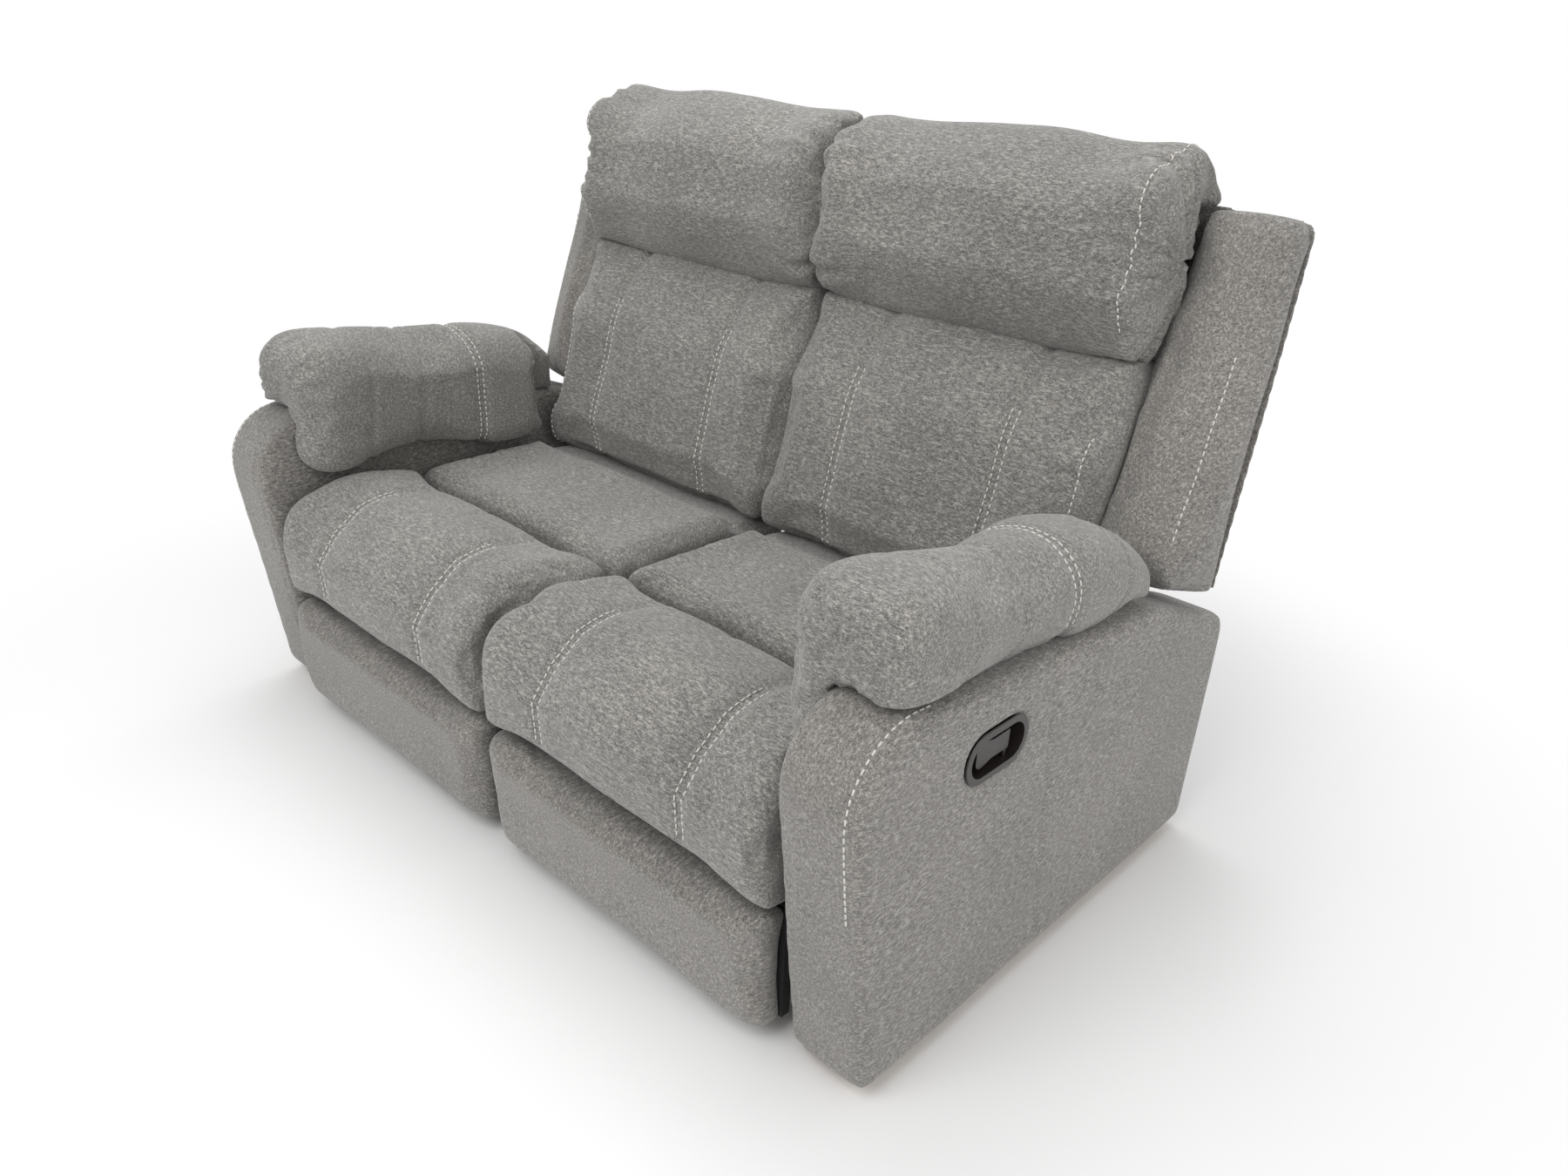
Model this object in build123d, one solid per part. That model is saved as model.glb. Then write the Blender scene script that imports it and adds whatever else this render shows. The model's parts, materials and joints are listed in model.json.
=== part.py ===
from build123d import *
import os
from math import cos, radians, sin

# A two-seat reclining loveseat, in millimetres.
# X runs across, Y from front (-Y) to back, Z up from the floor. The right seat is
# modelled and mirrored; each seat has its own glide, recline and footrest linkage.

# Driving dimensions: widths, from the middle of the object outward
SEAT_CLEAR_X = 3
SEAT_WIDTH = 598
SEAT_END_X = SEAT_CLEAR_X + SEAT_WIDTH
SEAT_MID_X = SEAT_CLEAR_X + SEAT_WIDTH / 2
SEAT_BOX_INSET = 49
SEAT_BOX_IN_X = SEAT_CLEAR_X + SEAT_BOX_INSET
SEAT_BOX_OUT_X = SEAT_END_X - SEAT_BOX_INSET
ARM_GAP = 13
ARM_THICKNESS = 124
ARM_INNER_X = SEAT_END_X + ARM_GAP
ARM_OUTER_X = ARM_INNER_X + ARM_THICKNESS
WING_CLEAR = 3
WING_INNER_X = SEAT_END_X + WING_CLEAR
WING_OUTER_X = ARM_OUTER_X - WING_CLEAR
PAD_OVERHANG = 57
PAD_INNER_X = ARM_INNER_X - PAD_OVERHANG

# Driving dimensions: base and arms
FOOT_HEIGHT = 20
FOOT_RADIUS = 18
FOOT_FRONT_Y = -360
FOOT_REAR_Y = 385
ARM_WALL = 12
ARM_EDGE_ROUND = 11
ARM_FRONT_FOOT_Y = -401
ARM_FRONT_HEAD = (-470, 552)
ARM_TOP_BREAK = (195, 487)
ARM_REAR_HEAD = (433, 396)
ARM_REAR_FOOT_Y = 427
ARM_FRONT_ROUND = 100
ARM_REAR_ROUND = 30
ARM_BREAK_ROUND = 150
RAIL_BOTTOM_Z = 24
RAIL_TOP_Z = 70
RAIL_DEPTH = 40
FRONT_RAIL_Y = -262
REAR_RAIL_Y = 300

# Driving dimensions: arm pad, a pillow draped over the arm and down its inner side
PAD_SET_IN = 9
PAD_FRONT_Y = -395
PAD_FRONT_TOP_Z = 662
PAD_MID_Y = -60
PAD_MID_TOP_Z = 643
PAD_TAIL_Y = 110
PAD_TAIL_TOP_Z = 606
PAD_REAR_Y = 180
PAD_REAR_TOP_Z = 562
PAD_HEM_FRONT_Z = 450
PAD_HEM_REAR_Z = 432
PAD_LAP = 3
PAD_BACK_ROOM = 12
PAD_TOP_ROUND = 52
PAD_HEM_ROUND = 16
PAD_DRAW_IN = 26

# Driving dimensions: release handle in the outer arm
CUP_LENGTH = 128
CUP_HEIGHT = 70
CUP_LIP = 8
CUP_LIP_PROUD = 2
CUP_DEPTH = 26
CUP_WALL = 2
CUP_Y = -200
CUP_Z = 435
LEVER_LENGTH = 64
LEVER_HEIGHT = 44
LEVER_NECK = 26
LEVER_THICKNESS = 4
LEVER_INSET = 5
LEVER_PIN_RADIUS = 3
GLAND_RADIUS = 4
GLAND_LENGTH = 10

# Driving dimensions: seat
SEAT_BOX_FRONT_Y = -380
SEAT_BOX_REAR_Y = 250
SEAT_BOX_BOTTOM_Z = 240
SEAT_BOX_TOP_Z = 330
SEAT_BOARD = 22
STRAP_WIDTH = 50
STRAP_THICKNESS = 2
STRAPS_ACROSS = 5
SEAT_CREASE_Y = -172
SEAT_REAR_Y = 121
SEAT_TOP_Z = 406
SEAT_TUCK_Z = 384
SEAT_TAIL_Z = 362
FRONT_TOP_Z = 434
FRONT_FACE_Y = -452
FRONT_HEM_Z = 236
CUSHION_GAP = 2
CHANNEL_OFFSET = 148
CHANNEL_DEPTH = 5
END_DRAW_IN = 15
END_ROUND = 30

# Driving dimensions: footrest
REST_BOARD_BACK_Y = -370
REST_BOARD = 15
REST_BOTTOM_Z = 20
REST_TOP_Z = 222
REST_FACE_Y = -446
REST_SIDE_CLEAR = 5
REST_BOARD_INSET = 10

# Driving dimensions: back, laid out on a leaning plane: n to the rear, h up along the back
BACK_LEAN = 9.3
BACK_FOOT = (366.5, 446)
BACK_BOTTOM_H = -75
HEAD_TOP_H = 622
HEAD_RISE = 77
BACK_TOP_H = HEAD_TOP_H - HEAD_RISE
BACK_POST_WIDTH = 40
BACK_POST_DEPTH = 40
BACK_RAIL_HEIGHT = 50
BACK_PANEL = 14
COVER_THICKNESS = 4
LUMBAR_BOTTOM_H = -92
LUMBAR_TOP_H = 322
LUMBAR_FACE_N = -238
CREASE_N = -150
HEAD_FACE_N = -208
HEAD_GAP = 2
WING_TOP_H = 540
WING_ROUND = 24
WING_GAP = 24
WING_FOOT_INNER_N = -196
WING_FOOT_OUTER_N = -152
WING_HEAD_INNER_N = -66
WING_HEAD_OUTER_N = -64
WING_BULGE = 16
WING_RAIL_H = (70, 340)
WING_RAIL_HEIGHT = 50

# Driving dimensions: mechanism, in layers of steel outward from the seat box side
STEEL = 3
LAYER_GAP = 0.5
BASE_GAP = 1
RUNNING_FIT = 0.06
OPEN_PIVOT_PLAY = 1.6
CONTROL_PIVOT_PLAY = 1.1
SOFT_CLEAR = 0.4
PIN_RADIUS = 4
BIG_PIN_RADIUS = 5
TUBE_RADIUS = 9.5
TUBE_BORE = 7.5
LINK_RADIUS = 11
SLIM_LINK_RADIUS = 6.5
SWING_LENGTH = 120
SWING_REST_LEAN = 22
RECLINE_TRAVEL = 24
SWING_FRONT_PIVOT = (-180, 205)
SWING_REAR_PIVOT = (150, 205)
RECLINE_PIVOT = (326, 335)
DRIVE_ARM = 40
REST_PIVOT = (-305, 190)
REAR_LINK_LENGTH = 150
FRONT_LINK_LENGTH = 150
FRONT_LINK_ANGLE = 75.5
CONTROL_PIVOT = (-336.55, 160.41)
CONTROL_OFFSET = (-22.95, -12.10)
UPPER_OFFSET = 24
UPPER_ANGLE = 103.75
BASE_FLANGE = 20
BASE_WEB_HEIGHT = 42
SEAT_PLATE_TOP_Z = 290
BRACKET_FLANGE = 20


def layer(number):
    """Start of a link layer, counted outward from the seat plate."""
    return STEEL + LAYER_GAP + number * (STEEL + LAYER_GAP)


LAYER_A = layer(0)
LAYER_B = layer(1)
LAYER_C = layer(2)
LAYER_D = layer(3)
LAYER_INSIDE = -STEEL - LAYER_GAP
BASE_LAYER = LAYER_D + STEEL + BASE_GAP


def swung(start, length, angle):
    """A point at a length from start, with angle measured up from straight ahead (-Y)."""
    return (start[0] - length * cos(radians(angle)), start[1] + length * sin(radians(angle)))


# Pivot points in the YZ plane, footrest closed and back upright
SWING_ANGLE = 90 + SWING_REST_LEAN
BASE_FRONT_PIVOT = swung(SWING_FRONT_PIVOT, -SWING_LENGTH, SWING_ANGLE)
BASE_REAR_PIVOT = swung(SWING_REAR_PIVOT, -SWING_LENGTH, SWING_ANGLE)
DRIVE_START = swung(SWING_REAR_PIVOT, DRIVE_ARM, 90 + RECLINE_TRAVEL / 2)
DRIVE_END = swung(RECLINE_PIVOT, DRIVE_ARM, -90 - RECLINE_TRAVEL / 2)
ELBOW = swung(REST_PIVOT, REAR_LINK_LENGTH, -90)
BRACKET_PIVOT = swung(ELBOW, FRONT_LINK_LENGTH, FRONT_LINK_ANGLE)
CONTROL_END = (ELBOW[0] + CONTROL_OFFSET[0], ELBOW[1] + CONTROL_OFFSET[1])
UPPER_START = swung(ELBOW, UPPER_OFFSET, UPPER_ANGLE)
UPPER_END = swung(BRACKET_PIVOT, UPPER_OFFSET, UPPER_ANGLE)

BACK_FRAME = Pos(0, *BACK_FOOT) * Rot(-BACK_LEAN, 0, 0)


def outline(points, radii):
    """A closed face of straight runs with rounded corners."""
    return make_face(FilletPolyline(*points, radius=radii, close=True))


def across(face, start_x, width):
    """A YZ profile carried across X."""
    return extrude(Plane.YZ.offset(start_x) * face, width)


def block(x_range, y_range, z_range):
    size = [end - start for start, end in (x_range, y_range, z_range)]
    middle = [(end + start) / 2 for start, end in (x_range, y_range, z_range)]
    return Pos(*middle) * Box(*size)


def rod(point, radius, start_x, end_x):
    """A round bar along X through a YZ point."""
    return across(Pos(*point) * Circle(radius), min(start_x, end_x), abs(end_x - start_x))


def strip(points, radius, start_x):
    """A flat steel link whose outline wraps a boss round each point."""
    rims = [edge for point in points for edge in (Pos(*point) * Circle(radius)).edges()]
    return across(make_hull(rims), start_x, STEEL)


def lofted(sections, ruled=False):
    return loft([Sketch() + section for section in sections], ruled=ruled)


def on_both_sides(shape):
    """A mechanism piece drawn outward from X = 0, set on the outer and inner seat box sides."""
    outer = Pos(SEAT_BOX_OUT_X, 0, 0) * shape
    inner = Pos(SEAT_BOX_IN_X, 0, 0) * mirror(shape, Plane.YZ)
    return [outer, inner]


# Arms
def arm_profile(inset):
    """Side outline of the arm, drawn in by an inset all round but at the floor."""
    points = [
        (ARM_FRONT_FOOT_Y + inset, FOOT_HEIGHT),
        (ARM_FRONT_HEAD[0] + inset, ARM_FRONT_HEAD[1] - inset),
        (ARM_TOP_BREAK[0], ARM_TOP_BREAK[1] - inset),
        (ARM_REAR_HEAD[0] - inset, ARM_REAR_HEAD[1] - inset),
        (ARM_REAR_FOOT_Y - inset, FOOT_HEIGHT),
    ]
    return outline(points, [0, ARM_FRONT_ROUND, ARM_BREAK_ROUND, ARM_REAR_ROUND, 0])


def cup_body(grow):
    slot = Pos(CUP_Y, CUP_Z) * SlotOverall(CUP_LENGTH - 2 * CUP_LIP + 2 * grow, CUP_HEIGHT - 2 * CUP_LIP + 2 * grow)
    return across(slot, ARM_OUTER_X - CUP_DEPTH - grow, CUP_DEPTH + grow)


def gland_hole():
    return rod((CUP_Y, CUP_Z), GLAND_RADIUS + SOFT_CLEAR, ARM_INNER_X, ARM_OUTER_X - CUP_DEPTH)


def arm_cover():
    shell = across(arm_profile(0), ARM_INNER_X, ARM_THICKNESS)
    rims = shell.faces().filter_by(Axis.X).edges().filter_by(lambda edge: edge.center().Z > FOOT_HEIGHT + 1)
    shell = fillet(rims, ARM_EDGE_ROUND)
    cavity = across(arm_profile(ARM_WALL), ARM_INNER_X + ARM_WALL, ARM_THICKNESS - 2 * ARM_WALL)
    return shell - cavity - cup_body(SOFT_CLEAR)


def arm_frame():
    reach = ARM_THICKNESS - 2 * ARM_WALL
    core = across(arm_profile(ARM_WALL + SOFT_CLEAR), ARM_INNER_X + ARM_WALL, reach)
    return core - cup_body(SOFT_CLEAR) - gland_hole()


def pad_section(y, top_z, hem_z, draw_in):
    """Across section of the arm pad before the arm is cut out of it."""
    inner = PAD_INNER_X + draw_in
    outer = ARM_OUTER_X - PAD_SET_IN - draw_in
    edge_z = arm_top(y) + PAD_LAP
    inside_x = ARM_INNER_X + ARM_WALL
    points = [
        (inner, hem_z + draw_in),
        (inner, top_z - draw_in),
        (outer, top_z - draw_in),
        (outer, edge_z),
        (inside_x, edge_z),
        (inside_x, hem_z + draw_in),
    ]
    face = outline(points, [PAD_HEM_ROUND, PAD_TOP_ROUND, PAD_TOP_ROUND, PAD_HEM_ROUND, 0, 0])
    return Plane((0, y, 0), x_dir=(1, 0, 0), z_dir=(0, -1, 0)) * face


def arm_top(y):
    """Height of the arm's top line above a point of its length."""
    start, end = ARM_FRONT_HEAD, ARM_TOP_BREAK
    if y > ARM_TOP_BREAK[0]:
        start, end = ARM_TOP_BREAK, ARM_REAR_HEAD
    return start[1] + (end[1] - start[1]) * (y - start[0]) / (end[0] - start[0])


def arm_pad():
    sections = [
        pad_section(PAD_FRONT_Y, PAD_FRONT_TOP_Z, PAD_HEM_FRONT_Z, PAD_DRAW_IN),
        pad_section(PAD_FRONT_Y + PAD_DRAW_IN, PAD_FRONT_TOP_Z, PAD_HEM_FRONT_Z, 0),
        pad_section((PAD_FRONT_Y + PAD_MID_Y) / 2, PAD_FRONT_TOP_Z, PAD_HEM_FRONT_Z, 0),
        pad_section(PAD_MID_Y, PAD_MID_TOP_Z, PAD_HEM_REAR_Z, 0),
        pad_section(PAD_TAIL_Y, PAD_TAIL_TOP_Z, PAD_HEM_REAR_Z, 0),
        pad_section(PAD_REAR_Y, PAD_REAR_TOP_Z, PAD_HEM_REAR_Z, 0),
    ]
    saddle = across(arm_profile(-SOFT_CLEAR), ARM_INNER_X - SOFT_CLEAR, ARM_THICKNESS + ARM_WALL)
    back_room = block(
        (0, WING_INNER_X + PAD_BACK_ROOM),
        (PAD_TAIL_Y - PAD_BACK_ROOM / 2, PAD_REAR_Y + PAD_LAP),
        (PAD_HEM_REAR_Z - PAD_BACK_ROOM, PAD_FRONT_TOP_Z),
    )
    return lofted(sections) - saddle - back_room


# Release handle
def handle_cup():
    lip = across(Pos(CUP_Y, CUP_Z) * SlotOverall(CUP_LENGTH, CUP_HEIGHT), ARM_OUTER_X, CUP_LIP_PROUD)
    lip = chamfer(lip.edges().group_by(Axis.X)[-1], CUP_LIP_PROUD / 2)
    recess_depth = CUP_DEPTH - CUP_WALL + CUP_LIP_PROUD
    slot = SlotOverall(CUP_LENGTH - 2 * (CUP_LIP + CUP_WALL), CUP_HEIGHT - 2 * (CUP_LIP + CUP_WALL))
    recess = across(Pos(CUP_Y, CUP_Z) * slot, ARM_OUTER_X - CUP_DEPTH + CUP_WALL, recess_depth)
    gland_x = ARM_OUTER_X - CUP_DEPTH - GLAND_LENGTH
    gland = rod((CUP_Y, CUP_Z), GLAND_RADIUS, gland_x, ARM_OUTER_X - CUP_DEPTH)
    gland -= rod((CUP_Y, CUP_Z), GLAND_RADIUS / 2, gland_x, ARM_OUTER_X - CUP_DEPTH)
    pivot = Pos(*lever_pivot(), CUP_Z) * Cylinder(LEVER_PIN_RADIUS + RUNNING_FIT, CUP_HEIGHT - 2 * CUP_LIP)
    return cup_body(0) + lip - recess + gland - pivot


def lever_pivot():
    straight = (CUP_LENGTH - CUP_HEIGHT) / 2
    return (ARM_OUTER_X - LEVER_INSET - LEVER_THICKNESS, CUP_Y + straight)


def handle_lever():
    """Paddle in the cup, wide under the fingers, narrow at its pin."""
    pivot_x, pivot_y = lever_pivot()
    tip_y = pivot_y - LEVER_LENGTH
    neck_y = pivot_y - LEVER_LENGTH / 2
    points = [
        (pivot_y + LEVER_PIN_RADIUS, CUP_Z - LEVER_NECK / 2),
        (neck_y, CUP_Z - LEVER_NECK / 2),
        (tip_y, CUP_Z - LEVER_HEIGHT / 2),
        (tip_y, CUP_Z + LEVER_HEIGHT / 2),
        (neck_y, CUP_Z + LEVER_NECK / 2),
        (pivot_y + LEVER_PIN_RADIUS, CUP_Z + LEVER_NECK / 2),
    ]
    corner = LEVER_HEIGHT / 4
    paddle = across(outline(points, [1, corner, corner, corner, corner, 1]), pivot_x, LEVER_THICKNESS)
    pin_length = CUP_HEIGHT - 2 * CUP_LIP - CUP_WALL / 2
    return paddle + Pos(pivot_x, pivot_y, CUP_Z) * Cylinder(LEVER_PIN_RADIUS, pin_length)


# Base
def cross_rail(y):
    return block((-ARM_INNER_X, ARM_INNER_X), (y, y + RAIL_DEPTH), (RAIL_BOTTOM_Z, RAIL_TOP_Z))


def base_plate():
    end_y = REAR_RAIL_Y + RAIL_DEPTH
    web = block((BASE_LAYER, BASE_LAYER + STEEL), (FRONT_RAIL_Y, end_y), (RAIL_TOP_Z, RAIL_TOP_Z + BASE_WEB_HEIGHT))
    flange = block((BASE_LAYER, BASE_LAYER + BASE_FLANGE), (FRONT_RAIL_Y, end_y), (RAIL_TOP_Z, RAIL_TOP_Z + STEEL))
    front_pin = rod(BASE_FRONT_PIVOT, BIG_PIN_RADIUS, LAYER_D, BASE_LAYER)
    rear_pin = rod(BASE_REAR_PIVOT, BIG_PIN_RADIUS, LAYER_D, BASE_LAYER)
    return web + flange + front_pin + rear_pin


def feet():
    arm_mid_x = ARM_OUTER_X - ARM_THICKNESS / 2
    foot = Cylinder(FOOT_RADIUS, FOOT_HEIGHT)
    foot = fillet(foot.edges().group_by(Axis.Z)[0], FOOT_RADIUS / 6)
    places = [(side * arm_mid_x, y) for side in (-1, 1) for y in (FOOT_FRONT_Y, FOOT_REAR_Y)]
    return [Pos(x, y, FOOT_HEIGHT / 2) * foot for x, y in places]


# Seat
def seat_frame():
    box = block(
        (SEAT_BOX_IN_X, SEAT_BOX_OUT_X), (SEAT_BOX_FRONT_Y, SEAT_BOX_REAR_Y), (SEAT_BOX_BOTTOM_Z, SEAT_BOX_TOP_Z)
    )
    inside = block(
        (SEAT_BOX_IN_X + SEAT_BOARD, SEAT_BOX_OUT_X - SEAT_BOARD),
        (SEAT_BOX_FRONT_Y + SEAT_BOARD, SEAT_BOX_REAR_Y - SEAT_BOARD),
        (SEAT_BOX_BOTTOM_Z, SEAT_BOX_TOP_Z),
    )
    return box - inside


def seat_webbing():
    pitch = (SEAT_BOX_OUT_X - SEAT_BOX_IN_X) / STRAPS_ACROSS
    first = SEAT_BOX_IN_X + pitch / 2
    rows = [first + pitch * index for index in range(STRAPS_ACROSS)]
    heights = (SEAT_BOX_TOP_Z, SEAT_BOX_TOP_Z + STRAP_THICKNESS)
    lengths = (SEAT_BOX_FRONT_Y + SEAT_BOARD / 2, SEAT_BOX_REAR_Y - SEAT_BOARD / 2)
    return [block((x - STRAP_WIDTH / 2, x + STRAP_WIDTH / 2), lengths, heights) for x in rows]


def seat_plate():
    outline_faces = [
        hull_face([REST_PIVOT, SWING_FRONT_PIVOT], LINK_RADIUS + BIG_PIN_RADIUS),
        hull_face([REST_PIVOT, CONTROL_PIVOT], LINK_RADIUS),
        hull_face([SWING_FRONT_PIVOT, SWING_REAR_PIVOT], LINK_RADIUS + BIG_PIN_RADIUS),
        hull_face([SWING_REAR_PIVOT, RECLINE_PIVOT], LINK_RADIUS + BIG_PIN_RADIUS),
    ]
    plate = across(Sketch() + outline_faces, 0, STEEL)
    plate += block((0, STEEL), (REST_PIVOT[0], SEAT_BOX_REAR_Y), (SWING_REAR_PIVOT[1], SEAT_PLATE_TOP_Z))
    plate -= rod(REST_PIVOT, TUBE_RADIUS + RUNNING_FIT, 0, STEEL)
    plate += rod(SWING_FRONT_PIVOT, BIG_PIN_RADIUS, 0, LAYER_D + STEEL)
    plate += rod(SWING_REAR_PIVOT, BIG_PIN_RADIUS, 0, LAYER_D + STEEL)
    plate += rod(RECLINE_PIVOT, BIG_PIN_RADIUS, 0, LAYER_A + STEEL)
    plate += rod(CONTROL_PIVOT, PIN_RADIUS, LAYER_INSIDE, 0)
    return plate


def hull_face(points, radius):
    return make_hull([edge for point in points for edge in (Pos(*point) * Circle(radius)).edges()])


def cushion_stations():
    """Places across a seat cushion, with how far its face is drawn in at each."""
    return [
        (SEAT_CLEAR_X, END_DRAW_IN),
        (SEAT_CLEAR_X + END_ROUND / 4, END_DRAW_IN / 2),
        (SEAT_CLEAR_X + END_ROUND, 0),
        (SEAT_MID_X - CHANNEL_OFFSET, CHANNEL_DEPTH),
        (SEAT_MID_X, 0),
        (SEAT_MID_X + CHANNEL_OFFSET, CHANNEL_DEPTH),
        (SEAT_END_X - END_ROUND, 0),
        (SEAT_END_X - END_ROUND / 4, END_DRAW_IN / 2),
        (SEAT_END_X, END_DRAW_IN),
    ]


def cushion(profile):
    """A cushion from its side profile, drawn in at its ends and along its sewn channels."""
    return lofted([Plane.YZ.offset(x) * profile(draw) for x, draw in cushion_stations()])


def seat_cushion_profile(draw):
    floor = SEAT_BOX_TOP_Z + STRAP_THICKNESS
    front = SEAT_CREASE_Y + CUSHION_GAP
    rear = SEAT_BOX_REAR_Y - SEAT_BOARD / 2
    points = [
        (front, floor),
        (front, SEAT_TOP_Z - draw),
        (SEAT_REAR_Y - END_ROUND, SEAT_TOP_Z - draw),
        (SEAT_REAR_Y, SEAT_TUCK_Z - draw / 4),
        (rear, SEAT_TAIL_Z - draw / 4),
        (rear, floor),
    ]
    return outline(points, [5, 24, 10, 10, 8, 5])


def front_cushion_profile(draw):
    floor = SEAT_BOX_TOP_Z + STRAP_THICKNESS
    flap_back = SEAT_BOX_FRONT_Y - SOFT_CLEAR
    points = [
        (SEAT_CREASE_Y, floor),
        (SEAT_CREASE_Y, SEAT_TOP_Z - draw),
        ((SEAT_CREASE_Y + FRONT_FACE_Y) / 2, FRONT_TOP_Z - draw),
        (FRONT_FACE_Y + draw, FRONT_TOP_Z - END_ROUND - draw),
        (FRONT_FACE_Y + END_DRAW_IN + draw / 2, FRONT_HEM_Z),
        (flap_back, FRONT_HEM_Z),
        (flap_back, floor),
    ]
    return outline(points, [5, 24, 150, 62, 14, 5, 0])


# Linkage
def swing_link(base_point, seat_point, extra_points):
    link = strip([base_point, seat_point, *extra_points], LINK_RADIUS, LAYER_D)
    link -= rod(base_point, BIG_PIN_RADIUS + RUNNING_FIT, LAYER_D, LAYER_D + STEEL)
    link -= rod(seat_point, BIG_PIN_RADIUS + RUNNING_FIT, LAYER_D, LAYER_D + STEEL)
    for point in extra_points:
        link += rod(point, PIN_RADIUS, LAYER_C, LAYER_D)
    return link


def back_drive_link():
    """Link from swing to back; its far hole sits midway in the rise and fall of the back's pin."""
    arc_rise = DRIVE_ARM * (1 - cos(radians(RECLINE_TRAVEL / 2)))
    far_hole = (DRIVE_END[0], DRIVE_END[1] - arc_rise)
    link = strip([DRIVE_START, far_hole], LINK_RADIUS, LAYER_C)
    link -= rod(DRIVE_START, PIN_RADIUS + RUNNING_FIT, LAYER_C, LAYER_C + STEEL)
    return link - rod(far_hole, PIN_RADIUS + OPEN_PIVOT_PLAY, LAYER_C, LAYER_C + STEEL)


def rest_rear_link():
    boss = hull_face([REST_PIVOT], TUBE_RADIUS + STEEL * 2)
    link = strip([REST_PIVOT, ELBOW], LINK_RADIUS, LAYER_A) + across(boss, LAYER_A, STEEL)
    link -= rod(REST_PIVOT, TUBE_RADIUS, LAYER_A, LAYER_A + STEEL)
    link += rod(ELBOW, PIN_RADIUS, LAYER_A + STEEL, LAYER_B + STEEL)
    return link + rod(UPPER_START, PIN_RADIUS, LAYER_A + STEEL, LAYER_C + STEEL)


def rest_tube():
    reach = LAYER_A + STEEL
    ends = (SEAT_BOX_IN_X - reach, SEAT_BOX_OUT_X + reach)
    return rod(REST_PIVOT, TUBE_RADIUS, *ends) - rod(REST_PIVOT, TUBE_BORE, *ends)


def rest_front_link():
    link = strip([ELBOW, CONTROL_END, BRACKET_PIVOT], SLIM_LINK_RADIUS, LAYER_B)
    link -= rod(ELBOW, PIN_RADIUS + RUNNING_FIT, LAYER_B, LAYER_B + STEEL)
    link -= rod(BRACKET_PIVOT, PIN_RADIUS + RUNNING_FIT, LAYER_B, LAYER_B + STEEL)
    return link - rod(CONTROL_END, PIN_RADIUS + CONTROL_PIVOT_PLAY, LAYER_B, LAYER_B + STEEL)


def rest_lower_link():
    link = strip([CONTROL_PIVOT, CONTROL_END], SLIM_LINK_RADIUS, LAYER_INSIDE)
    link -= rod(CONTROL_PIVOT, PIN_RADIUS + RUNNING_FIT, LAYER_INSIDE, LAYER_INSIDE + STEEL)
    return link + rod(CONTROL_END, PIN_RADIUS, LAYER_INSIDE + STEEL, LAYER_B + STEEL)


def rest_upper_link():
    link = strip([UPPER_START, UPPER_END], SLIM_LINK_RADIUS, LAYER_C)
    for point in (UPPER_START, UPPER_END):
        link -= rod(point, PIN_RADIUS + RUNNING_FIT, LAYER_C, LAYER_C + STEEL)
    return link


def rest_bracket():
    """Steel angle on the footrest board that the front and upper links carry."""
    foot_y = REST_BOARD_BACK_Y + STEEL
    low_z = BRACKET_PIVOT[1] - FRONT_LINK_LENGTH / 2
    ears = hull_face([BRACKET_PIVOT, UPPER_END], SLIM_LINK_RADIUS + STEEL / 2)
    seat = outline([(foot_y, low_z), (foot_y, UPPER_END[1]), BRACKET_PIVOT], 0)
    bracket = across(Sketch() + [ears, seat], LAYER_A, STEEL)
    bracket += block(
        (LAYER_A, LAYER_A + BRACKET_FLANGE), (REST_BOARD_BACK_Y, foot_y), (low_z, UPPER_END[1])
    )
    bracket += rod(BRACKET_PIVOT, PIN_RADIUS, LAYER_A + STEEL, LAYER_B + STEEL)
    return bracket + rod(UPPER_END, PIN_RADIUS, LAYER_A + STEEL, LAYER_C + STEEL)


# Footrest
def rest_board():
    x_range = (SEAT_CLEAR_X + REST_SIDE_CLEAR + REST_BOARD_INSET, SEAT_END_X - REST_SIDE_CLEAR - REST_BOARD_INSET)
    z_range = (REST_BOTTOM_Z + REST_BOARD_INSET, REST_TOP_Z - REST_BOARD_INSET)
    return block(x_range, (REST_BOARD_BACK_Y - REST_BOARD, REST_BOARD_BACK_Y), z_range)


def rest_pad():
    back = REST_BOARD_BACK_Y - REST_BOARD
    start, end = SEAT_CLEAR_X + REST_SIDE_CLEAR, SEAT_END_X - REST_SIDE_CLEAR
    rounding = [(start, END_DRAW_IN), (start + END_ROUND / 4, END_DRAW_IN / 3), (start + END_ROUND, 0)]
    stations = rounding + [(start + end - x, draw) for x, draw in reversed(rounding)]

    def profile(draw):
        points = [
            (back, REST_BOTTOM_Z + draw),
            (back, REST_TOP_Z - draw / 2),
            (REST_FACE_Y + draw, REST_TOP_Z - draw / 2),
            (REST_FACE_Y + END_DRAW_IN + draw, REST_BOTTOM_Z + draw),
        ]
        return outline(points, [2, 4, 26, 26])

    return lofted([Plane.YZ.offset(x) * profile(draw) for x, draw in stations], ruled=True)


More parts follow.
